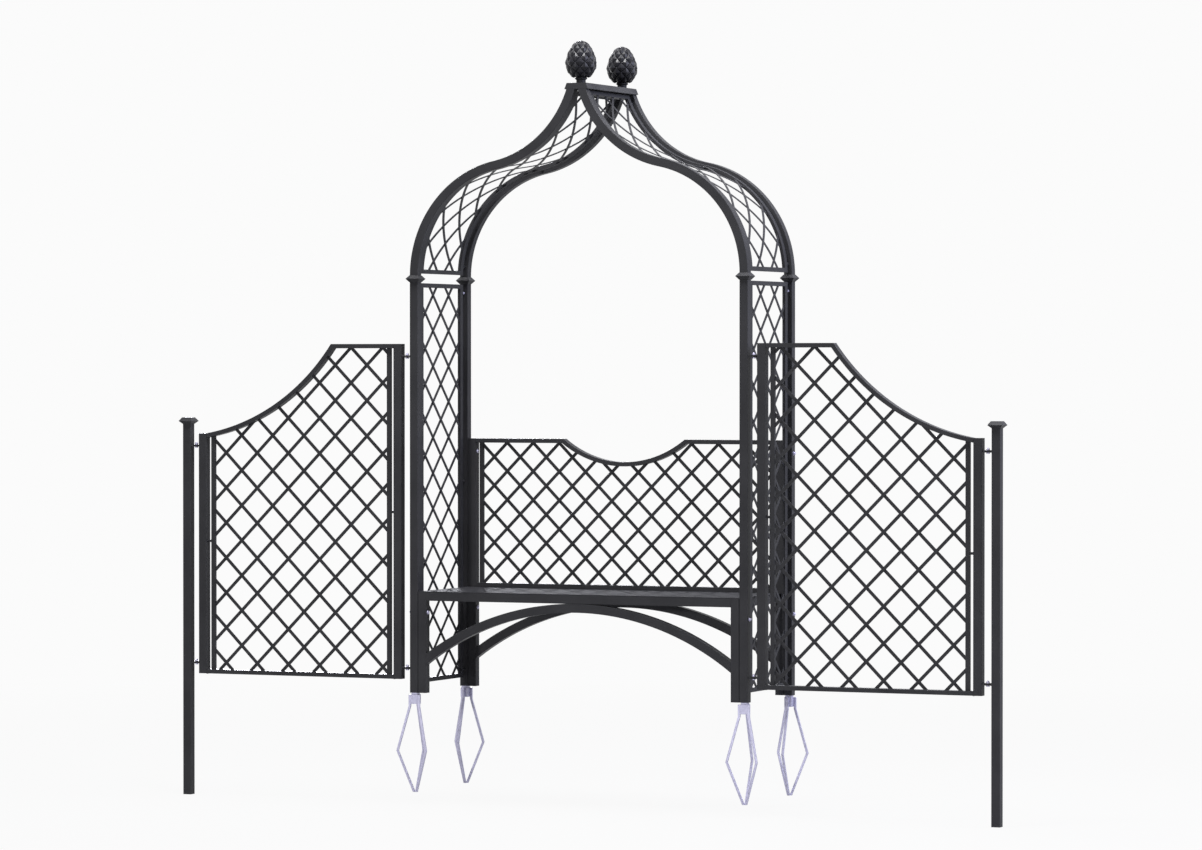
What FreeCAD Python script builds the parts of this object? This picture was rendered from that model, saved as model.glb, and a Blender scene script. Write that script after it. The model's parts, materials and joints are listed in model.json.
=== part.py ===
import FreeCAD, Part
import math
import os

# Rose arch with a bench: an ogee arch of square tube with lattice sides, a bench between its posts,
# a trellis wing hinged to each front post and an end post hinged to each wing.
# Millimetres. The origin is the middle of the arch at ground level, +X runs along the wings,
# -Y is the front and +Z is up. Most pieces are drawn on the right and mirrored to the left.

Vector = FreeCAD.Vector

# Stock: square tube, rail, lattice frame bar and lattice bar
tube = 40.0
tube_wall = 2.0
tube_round = 2.0
rail_height = 20.0
rail_wall = 1.5
frame_bar_width = 20.0
frame_bar_depth = 15.0
frame_bar_wall = 1.5
lattice_bar_width = 15.0
lattice_bar_thickness = 3.0

# Clearances
sleeve_fit = 0.3
hole_fit = 0.2
hinge_fit = 0.06
lug_play = 0.3
leg_gap = 2.0
panel_gap = 20.0
back_panel_gap = 14.0

# Arch posts, from their axes
post_x = 820.0
post_y = 265.0
collar_z = 1904.0
collar_width = 70.0
collar_height = 32.0
spigot_depth = 80.0

# Ogee of the ribs, on the centre line of the tube
spring_rise = 15.0
ogee_radius = 510.0
ogee_tilt = 11.4
ogee_rise = 338.0
rib_spread = 28.0

# Ridge cap and finials
cap_height = 28.0
cap_top_width = 96.0
cap_bottom_width = 118.0
cap_plate = 6.0
cap_rim = 10.0
finial_setback = 14.7
neck_radius = 21.5
neck_height = 15.0
disc_radius = 28.5
disc_height = 12.0
disc_lip = 2.0
waist_height = 1.0
cone_base_radius = 36.0
cone_radius = 72.0
cone_lower = 75.0
cone_upper = 101.0
cone_taper = 0.18
cone_rows = 8
cone_ledge = 2.5
stud_radius = 5.0
stud_reach = 35.0
stud_nut_width = 17.0
stud_nut_height = 8.0

# Lattice panels of the arch
panel_upright_width = 30.0
side_pitch = 165.0
curved_pitch = 169.5
panel_bottom_z = 42.0
panel_top_drop = 19.0
panel_node_drop = 36.5
curved_node = 67.0
curved_panel_rise = 25.0
curved_panel_end = 7.0
curved_step = 26.0
spacer_radius = 6.0
spacer_inset = 40.0

# Bench
seat_top = 467.0
seat_plate = 2.5
brace_drop = 243.5
back_top = 1164.0
back_pitch = 134.0
dip_width = 612.0
dip_depth = 106.0
bolt_under_seat = 53.5
bolt_under_back = 60.0
bench_bolt_head_radius = 7.5
bench_bolt_head = 5.0

# Ground anchors
anchor_insert = 70.0
anchor_neck = 30.0
anchor_neck_length = 9.0
anchor_head = 36.0
anchor_head_length = 43.0
anchor_bar = 10.0
anchor_bar_overhang = 10.0
anchor_elbow_radius = 83.0
anchor_elbow_z = -266.0
anchor_tip_gap = 0.5
anchor_tip_z = -458.0

# Wings
wing_pitch = 164.0
hinge_gap = 44.5
wing_length = 1060.5
wing_bottom = 61.0
wing_top = 1605.0
wing_drop = 417.0
wing_flat = 324.5
wing_arc_radius = 1005.0
wing_node_in = 24.0
wing_node_up = 33.0
wing_inner_spacer_z = 830.0
wing_outer_spacer_z = 683.0

# End posts
end_post_depth = 510.5
end_post_top = 1262.0
end_cap_height = 31.0
end_cap_width = 70.0
end_cap_top_width = 45.0
end_cap_waist = 14.0
end_cap_plug = 25.0

# Bolts with hexagon heads and cap nuts
bolt_radius = 4.0
nut_width = 13.0
bolt_head_height = 5.5
nut_height = 6.5
dome_height = 5.0

# Hinge lugs
lug_width = 30.0
lug_thickness = 5.0
hinge_top_inset = 58.0
hinge_bottom_inset = 51.0

# How far a cutting shape runs past the face that it opens
overcut = 1.0

# Places worked out from the sizes above
half = tube / 2
front_face = -post_y - half
post_outer = post_x + half
leg_x = post_x - tube - leg_gap
leg_inner = leg_x - half
leg_outer = leg_x + half
spring_z = collar_z + spring_rise
seat_frame_top = seat_top - seat_plate
seat_frame_bottom = seat_frame_top - tube
seat_bolt_z = seat_frame_bottom - bolt_under_seat
back_bolt_z = back_top - bolt_under_back
back_rail_under = back_top - rail_height
back_rail_over = seat_top + rail_height
wing_inner_x = post_x + tube + hinge_gap
wing_outer_x = wing_inner_x + wing_length - tube
wing_outer_top = wing_top - wing_drop
wing_rail_over = wing_bottom + rail_height
end_post_x = wing_outer_x + tube + hinge_gap
inner_hinge_x = post_outer + hinge_gap / 2
outer_hinge_x = wing_outer_x + half + hinge_gap / 2
low_hinge_z = wing_bottom + hinge_bottom_inset
inner_hinge_heights = (low_hinge_z, wing_top - hinge_top_inset)
outer_hinge_heights = (low_hinge_z, wing_outer_top - hinge_top_inset)
panel_edge_y = post_y - half - panel_gap
panel_clear_y = panel_edge_y - panel_upright_width
root_two = math.sqrt(2)

nodes = {}


def add(name, *shapes):
    """Files the solids of one named sub-part."""
    solids = []
    for shape in shapes:
        solids.extend(shape.Solids)
    nodes[name] = solids


def mirror_x(shape):
    return shape.mirror(Vector(0, 0, 0), Vector(1, 0, 0))


def mirror_y(shape):
    return shape.mirror(Vector(0, 0, 0), Vector(0, 1, 0))


def add_both(name, *shapes):
    """Files a sub-part of the right side, and its mirror image on the left."""
    add("right_" + name, *shapes)
    add("left_" + name, *[mirror_x(shape) for shape in shapes])


def at_corners(shape):
    """The four copies of a front right shape, one at each corner of the arch."""
    left = mirror_x(shape)
    return [shape, left, mirror_y(shape), mirror_y(left)]


def add_corners(name, shape):
    """Files one sub-part per corner of the arch."""
    corners = ("_front_right", "_front_left", "_rear_right", "_rear_left")
    for corner, copy in zip(corners, at_corners(shape)):
        add(name + corner, copy)


def around(centre, width):
    """Limits of a width about its middle."""
    return (centre - width / 2, centre + width / 2)


def inset(limits, amount):
    """Limits drawn in by the same amount at both ends."""
    return (limits[0] + amount, limits[1] - amount)


def block(x, y, z):
    """Box between two limits on each axis."""
    return Part.makeBox(x[1] - x[0], y[1] - y[0], z[1] - z[0], Vector(x[0], y[0], z[0]))


def edges_along(solid, axis):
    """Straight edges that run along one axis."""
    found = []
    for edge in solid.Edges:
        run = edge.Vertexes[-1].Point.sub(edge.Vertexes[0].Point)
        if run.Length > 0 and abs(run.dot(axis)) > 0.999 * run.Length:
            found.append(edge)
    return found


def standing_tube(x, y, z, top_plate=0.0):
    """Square tube on end, open below and open or closed above."""
    solid = block(around(x, tube), around(y, tube), z)
    solid = solid.makeFillet(tube_round, edges_along(solid, Vector(0, 0, 1)))
    bore_end = z[1] - top_plate if top_plate else z[1] + overcut
    bore = tube - 2 * tube_wall
    return solid.cut(block(around(x, bore), around(y, bore), (z[0] - overcut, bore_end)))


def hollow_bar(limits, along, wall):
    """Rectangular tube between limits on each axis, open at both ends along one of them."""
    axis = Vector(along == 0, along == 1, along == 2)
    solid = block(*limits)
    solid = solid.makeFillet(wall, edges_along(solid, axis))
    bore = [inset(pair, -overcut if place == along else wall) for place, pair in enumerate(limits)]
    return solid.cut(block(*bore))


def line(a, b):
    """Edge between two points of the XZ plane."""
    return Part.LineSegment(Vector(a[0], 0, a[1]), Vector(b[0], 0, b[1])).toShape()


def arc(centre, radius, start, end):
    """Arc of the XZ plane between two angles, in radians."""
    places = []
    for angle in (start, (start + end) / 2, end):
        x = centre[0] + radius * math.cos(angle)
        z = centre[1] + radius * math.sin(angle)
        places.append(Vector(x, 0, z))
    return Part.Arc(*places).toShape()


def flat_face(edges):
    """Face of the XZ plane inside a closed run of edges."""
    return Part.Face(Part.Wire(Part.__sortEdges__(edges)))


def slab(face, y):
    """Face of the XZ plane drawn out between two depths."""
    placed = face.translated(Vector(0, y[0], 0))
    return placed.extrude(Vector(0, y[1] - y[0], 0))


def polygon(points):
    """Face of the XZ plane with straight sides."""
    corners = [Vector(x, 0, z) for x, z in points]
    return Part.Face(Part.makePolygon(corners + corners[:1]))


def square_at(x, y, z, width):
    """Level square wire about a point."""
    low_x, high_x = around(x, width)
    low_y, high_y = around(y, width)
    corners = [(low_x, low_y), (high_x, low_y), (high_x, high_y), (low_x, high_y), (low_x, low_y)]
    return Part.makePolygon([Vector(a, b, z) for a, b in corners])


def tapered(x, y, levels):
    """Solid through level squares, given as height and width from the bottom up."""
    return Part.makeLoft([square_at(x, y, z, width) for z, width in levels], True, True)


def hexagon(x, y, z, width, height):
    """Hexagon bar on end, with the width across its flats."""
    points = []
    for corner in range(7):
        angle = math.radians(60 * corner)
        reach = width / math.sqrt(3)
        points.append(Vector(x + reach * math.cos(angle), y + reach * math.sin(angle), z))
    return Part.Face(Part.makePolygon(points)).extrude(Vector(0, 0, height))


def cap_nut():
    """Cap nut on end at the origin: a hexagon with a smooth hole, and its dome."""
    nut = hexagon(0, 0, 0, nut_width, nut_height)
    thread = Part.makeCylinder(bolt_radius + hinge_fit, nut_height)
    dome = Part.makeCone(nut_width / 2, bolt_radius / 2, dome_height, Vector(0, 0, nut_height))
    return [nut.cut(thread), dome]


def crossed_bars(region, node, pitch):
    """Diagonal flat bars that fill a face of the XZ plane, one set lying against the other."""
    reach = region.BoundBox.DiagonalLength
    count = math.ceil(reach / pitch)
    end = reach / root_two
    side = lattice_bar_width / 2 / root_two
    bars = []
    for slope, depth in ((1, -lattice_bar_thickness), (-1, lattice_bar_thickness)):
        for step in range(-count, count + 1):
            x = node[0]
            z = node[1] + step * pitch
            corners = [(x - end + slope * side, z - slope * end - side),
                       (x + end + slope * side, z + slope * end - side),
                       (x + end - slope * side, z + slope * end + side),
                       (x - end - slope * side, z - slope * end + side)]
            for face in polygon(corners).common(region).Faces:
                if face.Area > lattice_bar_width ** 2:
                    bars.append(face.extrude(Vector(0, depth, 0)))
    return bars


def turned_to_side(shape):
    """Turns a panel of the XZ plane to face sideways, in the plane of the right posts."""
    turned = shape.rotated(Vector(0, 0, 0), Vector(0, 0, 1), 90)
    return turned.translated(Vector(post_x, 0, 0))


# The ogee runs up from the spring line: a lower arc that bends in and an upper arc that bends back out.
# Its path is measured by length along the centre line, and by an offset away from the arch.
tilt = math.radians(ogee_tilt)
lower_centre = (post_x - ogee_radius, spring_z)
turn_x = lower_centre[0] + ogee_radius * math.sin(tilt)
turn_z = lower_centre[1] + ogee_radius * math.cos(tilt)
cap_underside = turn_z + ogee_rise
chord_square = (rib_spread - turn_x) ** 2 + ogee_rise ** 2
chord_height = (rib_spread - turn_x) * math.sin(tilt) + ogee_rise * math.cos(tilt)
upper_radius = chord_square / (2 * chord_height)
upper_centre = (turn_x + upper_radius * math.sin(tilt), turn_z + upper_radius * math.cos(tilt))
lower_sweep = math.pi / 2 - tilt
lower_run = ogee_radius * lower_sweep
upper_start = lower_sweep + math.pi
upper_end = math.atan2(cap_underside - upper_centre[1], rib_spread - upper_centre[0]) % (2 * math.pi)
ogee_length = lower_run + upper_radius * (upper_start - upper_end)


def ogee_angle(length):
    """Angle on the upper arc at a length along the path."""
    return upper_start - (length - lower_run) / upper_radius


def ogee_point(length, offset):
    """Place in the XZ plane at a length along the ogee and an offset outwards."""
    if length < 0:
        return (post_x + offset, spring_z + length)
    if length <= lower_run:
        angle = length / ogee_radius
        centre, radius = lower_centre, ogee_radius + offset
    else:
        angle = ogee_angle(length)
        centre, radius = upper_centre, upper_radius - offset
    return (centre[0] + radius * math.cos(angle), centre[1] + radius * math.sin(angle))


def ogee_edges(offset, start, end):
    """Edges of the ogee at one offset, between two lengths."""
    edges = []
    if start < 0:
        edges.append(line(ogee_point(start, offset), ogee_point(0, offset)))
    low = max(start, 0) / ogee_radius
    high = min(end, lower_run) / ogee_radius
    if high > low:
        edges.append(arc(lower_centre, ogee_radius + offset, low, high))
    if end > lower_run:
        first = ogee_angle(max(start, lower_run))
        edges.append(arc(upper_centre, upper_radius - offset, first, ogee_angle(end)))
    return edges


def ogee_strip(offsets, lengths, y):
    """Solid that follows the ogee between two offsets, two lengths and two depths."""
    edges = ogee_edges(offsets[0], *lengths) + ogee_edges(offsets[1], *lengths)
    for length in lengths:
        edges.append(line(ogee_point(length, offsets[0]), ogee_point(length, offsets[1])))
    return slab(flat_face(edges), y)


def ogee_bar(middle, slope, offsets, y):
    """Flat diagonal bar bent to the ogee, in level steps across the depth."""
    reach = lattice_bar_width / root_two
    steps = math.ceil((y[1] - y[0]) / curved_step)
    sections = []
    for step in range(steps + 1):
        depth = y[0] + (y[1] - y[0]) * step / steps
        centre = middle + slope * depth
        places = [(centre - reach, offsets[0]), (centre + reach, offsets[0]),
                  (centre + reach, offsets[1]), (centre - reach, offsets[1])]
        corners = []
        for length, offset in places:
            x, z = ogee_point(length, offset)
            corners.append(Vector(x, depth, z))
        sections.append(Part.makePolygon(corners + corners[:1]))
    return Part.makeLoft(sections, True, True)


# Arch posts, with holes for the bench bolts
def bench_bolt_heights(rear):
    """Heights of the bolts through a bench leg, which is taller at the rear."""
    return (seat_bolt_z, back_bolt_z) if rear else (seat_bolt_z,)


def bolt_holes(y, heights):
    """Drill along X right through a bench leg and its post."""
    start = leg_inner - overcut
    length = post_outer + overcut - start
    radius = bolt_radius + hole_fit
    return [Part.makeCylinder(radius, length, Vector(start, y, z), Vector(1, 0, 0)) for z in heights]


for end, y in (("front", -post_y), ("rear", post_y)):
    post = standing_tube(post_x, y, (0, collar_z))
    add_both("arch_post_" + end, post.cut(bolt_holes(y, bench_bolt_heights(y > 0))))

# Collars over the joints between post and rib, and the spigots inside them
collar = tapered(post_x, -post_y, [(collar_z - collar_height / 2, tube + 2 * sleeve_fit + tube_wall),
                                   (collar_z, collar_width),
                                   (collar_z + collar_height / 2, tube + 2 * sleeve_fit + tube_wall)])
collar_bore = block(around(post_x, tube + 2 * sleeve_fit), around(-post_y, tube + 2 * sleeve_fit),
                    around(collar_z, collar_height + 2 * overcut))
add("post_collars", *at_corners(collar.cut(collar_bore)))

spigot_width = tube - 2 * tube_wall - 2 * sleeve_fit
spigot_z = (collar_z - spigot_depth, spring_z)
spigot = block(around(post_x, spigot_width), around(-post_y, spigot_width), spigot_z)
spigot_bore = block(around(post_x, spigot_width - 2 * tube_wall),
                    around(-post_y, spigot_width - 2 * tube_wall), inset(spigot_z, -overcut))
add("rib_spigots", *at_corners(spigot.cut(spigot_bore)))

# Ribs
rib_y = around(-post_y, tube)
rib_end = ogee_length + tube
rib = ogee_strip((-half, half), (-spring_rise, rib_end), rib_y)
rib = rib.makeFillet(tube_round, [edge for edge in rib.Edges if isinstance(edge.Curve, Part.Circle)])
rib_bore = ogee_strip((tube_wall - half, half - tube_wall),
                      (-spring_rise - overcut, rib_end + overcut), inset(rib_y, tube_wall))
above_ribs = block((-post_x, post_x), inset(rib_y, -overcut), (cap_underside, cap_underside + 2 * tube))
add_corners("rib", rib.cut(rib_bore).cut(above_ribs))

# Ridge cap, hollow between the ribs
cap_top = cap_underside + cap_height
cap_y = (front_face, -front_face)
cap_profile = [(-cap_bottom_width / 2, cap_underside), (cap_bottom_width / 2, cap_underside),
               (cap_top_width / 2, cap_top), (-cap_top_width / 2, cap_top)]
cap = slab(polygon(cap_profile), cap_y)
pocket = block(around(0, cap_top_width - 2 * cap_rim), inset(cap_y, tube + sleeve_fit),
               (cap_underside - overcut, cap_top - cap_plate))
finial_y = front_face + tube + sleeve_fit + finial_setback
stud_hole = Part.makeCylinder(stud_radius + hole_fit, cap_plate + 2 * overcut,
                              Vector(0, finial_y, cap_top - cap_plate - overcut))
add("ridge_cap", cap.cut([pocket, stud_hole, mirror_y(stud_hole)]))

# Pine-cone finials, turned with a ledge at the top of each row of scales
disc_bottom = cap_top + neck_height
disc_top = disc_bottom + disc_height
disc_edge = around((disc_bottom + disc_top) / 2, disc_lip)
cone_bottom = disc_top + waist_height
cone_middle = cone_bottom + cone_lower * math.sqrt(1 - (cone_base_radius / cone_radius) ** 2)
cone_top = cone_middle + cone_upper


def cone_width(z):
    """Radius of the egg that the scales lie on, which tapers towards its top."""
    share = (z - cone_middle) / (cone_upper if z > cone_middle else cone_lower)
    return (cone_radius - cone_ledge) * math.sqrt(1 - share ** 2) * (1 - cone_taper * max(0, share))


finial_profile = [(0, cap_top), (neck_radius, cap_top), (neck_radius, disc_bottom),
                  (disc_radius, disc_edge[0]), (disc_radius, disc_edge[1]), (neck_radius, disc_top),
                  (neck_radius, cone_bottom), (cone_base_radius, cone_bottom)]
for row in range(cone_rows):
    low = cone_bottom + (cone_top - cone_bottom) * row / cone_rows
    high = cone_bottom + (cone_top - cone_bottom) * (row + 1) / cone_rows
    if row > 0:
        finial_profile.append((cone_width(low) - cone_ledge, low))
    if row < cone_rows - 1:
        finial_profile.append((cone_width((low + high) / 2), (low + high) / 2))
        finial_profile.append((cone_width(high) + cone_ledge, high))
finial_profile.append((0, cone_top))
finial = polygon(finial_profile).revolve(Vector(0, 0, 0), Vector(0, 0, 1), 360)
finial_bore = Part.makeCylinder(stud_radius + hole_fit, stud_reach, Vector(0, 0, cap_top - overcut))
finial = finial.cut(finial_bore)
add("finial_front", finial.translated(Vector(0, finial_y, 0)))
add("finial_rear", finial.translated(Vector(0, -finial_y, 0)))

nut_z = cap_top - cap_plate - stud_nut_height
stud_bottom = nut_z - overcut
stud = Part.makeCylinder(stud_radius, cap_top + stud_reach - 2 * overcut - stud_bottom,
                         Vector(0, finial_y, stud_bottom))
stud_nut = hexagon(0, finial_y, nut_z, stud_nut_width, stud_nut_height)
stud_thread = Part.makeCylinder(stud_radius + hinge_fit, stud_nut_height, Vector(0, finial_y, nut_z))
stud_nut = stud_nut.cut(stud_thread)
add("finial_studs", stud, stud_nut, mirror_y(stud), mirror_y(stud_nut))


# Flat lattice panels between the posts, held off them by spacers
def spacer_pair(x, z):
    """Round spacers off the rear and front edges of a right panel."""
    spacer = Part.makeCylinder(spacer_radius, panel_gap, Vector(x, panel_edge_y, z), Vector(0, 1, 0))
    return [spacer, mirror_y(spacer)]


panel_top_z = collar_z - panel_top_drop
panel_under_z = panel_top_z - rail_height
panel_over_z = panel_bottom_z + rail_height
frame_depth = around(0, frame_bar_depth)
side_bar = hollow_bar(((panel_clear_y, panel_edge_y), frame_depth, (panel_bottom_z, panel_top_z)),
                      2, frame_bar_wall)
panel_frame = [side_bar, mirror_x(side_bar)]
for z in ((panel_bottom_z, panel_over_z), (panel_under_z, panel_top_z)):
    panel_frame.append(hollow_bar(((-panel_clear_y, panel_clear_y), frame_depth, z), 0, frame_bar_wall))
clear_face = polygon([(-panel_clear_y, panel_over_z), (panel_clear_y, panel_over_z),
                      (panel_clear_y, panel_under_z), (-panel_clear_y, panel_under_z)])
panel_node_z = panel_under_z - panel_node_drop
panel_bars = crossed_bars(clear_face, (side_pitch / 2, panel_node_z), side_pitch)
coated_spacers = spacer_pair(post_x, panel_bottom_z + spacer_inset)
coated_spacers += spacer_pair(post_x, (panel_bottom_z + panel_top_z) / 2)
add_both("side_lattice", *[turned_to_side(shape) for shape in panel_frame + panel_bars], *coated_spacers)

# The uppermost spacers are bright, and separate
bright_spacers = spacer_pair(post_x, panel_top_z - spacer_inset)
add("panel_spacers", *bright_spacers, *[mirror_x(spacer) for spacer in bright_spacers])

# Curved lattice panels between the ribs, with the spacers that hold them off the ribs
curved_start = collar_z + curved_panel_rise - spring_z
curved_end = ogee_length - curved_panel_end
curved_clear = (curved_start + rail_height, curved_end - rail_height)
curved_offsets = around(0, frame_bar_depth)
clear_depth = (-panel_clear_y, panel_clear_y)


def curved_tube(lengths, y, open_lengths, open_y):
    """Rectangular tube that follows the ogee, with the ends named open."""
    bore_lengths = inset(lengths, -overcut if open_lengths else frame_bar_wall)
    bore_y = inset(y, -overcut if open_y else frame_bar_wall)
    bore = ogee_strip(inset(curved_offsets, frame_bar_wall), bore_lengths, bore_y)
    return ogee_strip(curved_offsets, lengths, y).cut(bore)


curved_bar = curved_tube((curved_start, curved_end), (panel_clear_y, panel_edge_y), True, False)
curved_frame = [curved_bar, mirror_y(curved_bar)]
for lengths in ((curved_start, curved_clear[0]), (curved_clear[1], curved_end)):
    curved_frame.append(curved_tube(lengths, clear_depth, False, True))
for length in (curved_start + spacer_inset, lower_run, curved_end - spacer_inset):
    curved_frame.extend(spacer_pair(*ogee_point(length, 0)))
add_both("arch_frame", *curved_frame)

curved_region = ogee_strip(around(0, 2 * frame_bar_depth), curved_clear, clear_depth)
bar_reach = panel_clear_y + lattice_bar_width / root_two
curved_bars = []
for slope, offsets in ((1, (0, lattice_bar_thickness)), (-1, (-lattice_bar_thickness, 0))):
    # a bar through the node half a pitch off the middle crosses the middle half a pitch from the node
    first = curved_node - curved_pitch / 2
    lowest = math.floor((curved_clear[0] - bar_reach - first) / curved_pitch)
    highest = math.ceil((curved_clear[1] + bar_reach - first) / curved_pitch)
    for step in range(lowest, highest + 1):
        middle = first + step * curved_pitch
        bar = ogee_bar(middle, slope, offsets, clear_depth)
        inside = curved_clear[0] < middle - bar_reach and middle + bar_reach < curved_clear[1]
        for piece in [bar] if inside else bar.common(curved_region).Solids:
            if piece.Volume > lattice_bar_width ** 2 * lattice_bar_thickness:
                curved_bars.append(piece)
add_both("arch_lattice", *curved_bars)

# Bench legs, and the bolts that hold them to the posts
front_leg = standing_tube(leg_x, -post_y, (0, seat_frame_top))
back_leg = standing_tube(leg_x, post_y, (0, back_top), rail_wall)
add_both("bench_leg", front_leg.cut(bolt_holes(-post_y, bench_bolt_heights(False))))
add_both("back_upright", back_leg.cut(bolt_holes(post_y, bench_bolt_heights(True))))

bolts = []
bolt_length = post_outer + nut_height - leg_inner
for y in (-post_y, post_y):
    for z in bench_bolt_heights(y > 0):
        shank = Part.makeCylinder(bolt_radius, bolt_length, Vector(leg_inner, y, z), Vector(1, 0, 0))
        head = Part.makeCone(bench_bolt_head_radius, bolt_radius, bench_bolt_head,
                             Vector(leg_inner, y, z), Vector(-1, 0, 0))
        bolts.append(shank.fuse(head))
        for solid in cap_nut():
            laid = solid.rotated(Vector(0, 0, 0), Vector(0, 1, 0), 90)
            bolts.append(laid.translated(Vector(post_outer, y, z)))
add("bench_bolts", *bolts, *[mirror_x(bolt) for bolt in bolts])

# Seat frame, a strip that packs the back rail up to the seat, and the seat plate in front of the strip
seat_z = (seat_frame_bottom, seat_frame_top)
between_legs = (-leg_inner, leg_inner)
front_rail = hollow_bar((between_legs, around(-post_y, tube), seat_z), 0, tube_wall)
side_rail = hollow_bar((around(leg_x, tube), inset((-post_y, post_y), half), seat_z), 1, tube_wall)
add("seat_front_rail", front_rail)
plate_z = (seat_frame_top, seat_top)
packing_strip = block(between_legs, around(post_y, tube), plate_z)
add("seat_bearers", mirror_y(front_rail), side_rail, mirror_x(side_rail), packing_strip)
add("seat_plate", block((-leg_outer, leg_outer), (front_face, post_y - half), plate_z))

# Arched braces under the seat
brace_radius = (leg_inner ** 2 + brace_drop ** 2) / (2 * brace_drop)
brace_centre = (0, seat_frame_bottom - brace_radius)


def arch_band(inner, outer, reach):
    """Face between two arcs about the brace's centre, with upright ends."""
    edges = []
    ends = []
    for radius in (inner, outer):
        turn = math.acos(reach / radius)
        edges.append(arc(brace_centre, radius, turn, math.pi - turn))
        ends.append(brace_centre[1] + radius * math.sin(turn))
    for x in (-reach, reach):
        edges.append(line((x, ends[0]), (x, ends[1])))
    return flat_face(edges)


brace_y = around(-post_y, tube)
brace = slab(arch_band(brace_radius - tube, brace_radius, leg_inner), brace_y)
brace = brace.makeFillet(tube_wall, [edge for edge in brace.Edges if isinstance(edge.Curve, Part.Circle)])
brace_bore = arch_band(brace_radius - tube + tube_wall, brace_radius - tube_wall, leg_inner + overcut)
brace = brace.cut(slab(brace_bore, inset(brace_y, tube_wall)))
add("front_brace", brace)
add("rear_brace", mirror_y(brace))

# Back rest: rails between the uprights, side bars and lattice
dip_half = dip_width / 2
dip_radius = (dip_half ** 2 + dip_depth ** 2) / (2 * dip_depth)
dip_centre = (0, back_top - dip_depth + dip_radius)


def dip_edges(drop, reach):
    """Top line of the back, lowered by a drop, from one side to the other."""
    z = back_top - drop
    radius = dip_radius + drop
    corner = math.sqrt(radius ** 2 - (dip_centre[1] - z) ** 2)
    turn = math.acos(corner / radius)
    return [line((-reach, z), (-corner, z)),
            arc(dip_centre, radius, math.pi + turn, 2 * math.pi - turn),
            line((corner, z), (reach, z))]


def back_rail_face(skin, reach):
    """Face of the back's top rail, drawn in from its surface by a skin."""
    low = rail_height - skin
    edges = dip_edges(skin, reach) + dip_edges(low, reach)
    for x in (-reach, reach):
        edges.append(line((x, back_top - skin), (x, back_top - low)))
    return flat_face(edges)


back_y = around(post_y, tube)
back_rail = slab(back_rail_face(0, leg_inner), back_y)
back_rail_bore = slab(back_rail_face(rail_wall, leg_inner + overcut), inset(back_y, rail_wall))
add("back_top_rail", back_rail.cut(back_rail_bore))
add("back_bottom_rail", hollow_bar((between_legs, back_y, (seat_top, back_rail_over)), 0, rail_wall))

back_clear_x = leg_inner - back_panel_gap - frame_bar_width
back_bar = hollow_bar(((back_clear_x, back_clear_x + frame_bar_width), around(post_y, frame_bar_depth),
                       (back_rail_over, back_rail_under)), 2, frame_bar_wall)
back_region = dip_edges(rail_height, back_clear_x)
back_region.append(line((-back_clear_x, back_rail_over), (back_clear_x, back_rail_over)))
for x in (-back_clear_x, back_clear_x):
    back_region.append(line((x, back_rail_over), (x, back_rail_under)))
back_bars = crossed_bars(flat_face(back_region), (back_pitch / 2, back_rail_under), back_pitch)
back_bars = [bar.translated(Vector(0, post_y, 0)) for bar in back_bars]
add("back_lattice", back_bar, mirror_x(back_bar), *back_bars)

# Ground anchors: a spigot in the post, a head and three bent bars that meet at a point
anchor_head_top = -anchor_neck_length
anchor_head_bottom = anchor_head_top - anchor_head_length
anchor_insert_width = tube - 2 * tube_wall - 2 * sleeve_fit
anchor_body = block(around(post_x, anchor_insert_width), around(-post_y, anchor_insert_width),
                    (0, anchor_insert))
anchor_body = anchor_body.fuse(block(around(post_x, anchor_neck), around(-post_y, anchor_neck),
                                     (anchor_head_bottom, overcut)))
anchor_body = anchor_body.fuse(block(around(post_x, anchor_head), around(-post_y, anchor_head),
                                     (anchor_head_bottom, anchor_head_top)))
anchor_body = anchor_body.removeSplitter()
seat_distance = (anchor_head + anchor_bar) / 2
# the tips lie on a circle that leaves a gap between the bars, which stand a third of a turn apart
anchor_tip_radius = (anchor_bar + anchor_tip_gap) / 1.5
anchor_solids = [anchor_body]
for angle in (90, 210, 330):
    way = (math.cos(math.radians(angle)), math.sin(math.radians(angle)))
    # the bar's upper end lies flat against the face of the head that it is nearest to
    top_radius = seat_distance / max(abs(way[0]), abs(way[1]))
    course = [(top_radius, anchor_head_top), (top_radius, anchor_head_bottom - anchor_bar_overhang),
              (anchor_elbow_radius, anchor_elbow_z), (anchor_tip_radius, anchor_tip_z)]
    squares = []
    for radius, z in course:
        squares.append(square_at(post_x + radius * way[0], -post_y + radius * way[1], z, anchor_bar))
    anchor_solids.append(Part.makeLoft(squares, True, True))
anchor = Part.makeCompound(anchor_solids)
add_corners("anchor", anchor)


# Hinge lugs: level plates with a round end about the bolt
def lug(face_x, bolt_x, z):
    """Plate from the face of an upright to a round end about the bolt, with its hole."""
    middle = Vector(bolt_x, -post_y, z)
    reach = (min(face_x, bolt_x), max(face_x, bolt_x))
    strap = block(reach, around(-post_y, lug_width), (z, z + lug_thickness))
    plate = strap.fuse(Part.makeCylinder(lug_width / 2, lug_thickness, middle)).removeSplitter()
    return plate.cut(Part.makeCylinder(bolt_radius + hinge_fit, lug_thickness, middle))


def hinge_bolt(x, z):
    """Bolt up through a pair of lugs that meet at a height, and its cap nut."""
    head_top = z - lug_thickness - lug_play / 2
    nut_bottom = z + lug_thickness + lug_play / 2
    low = head_top - bolt_head_height
    shank = Part.makeCylinder(bolt_radius, nut_bottom + nut_height - low, Vector(x, -post_y, low))
    bolt = shank.fuse(hexagon(x, -post_y, low, nut_width, bolt_head_height)).removeSplitter()
    return [bolt] + [solid.translated(Vector(x, -post_y, nut_bottom)) for solid in cap_nut()]


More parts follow.
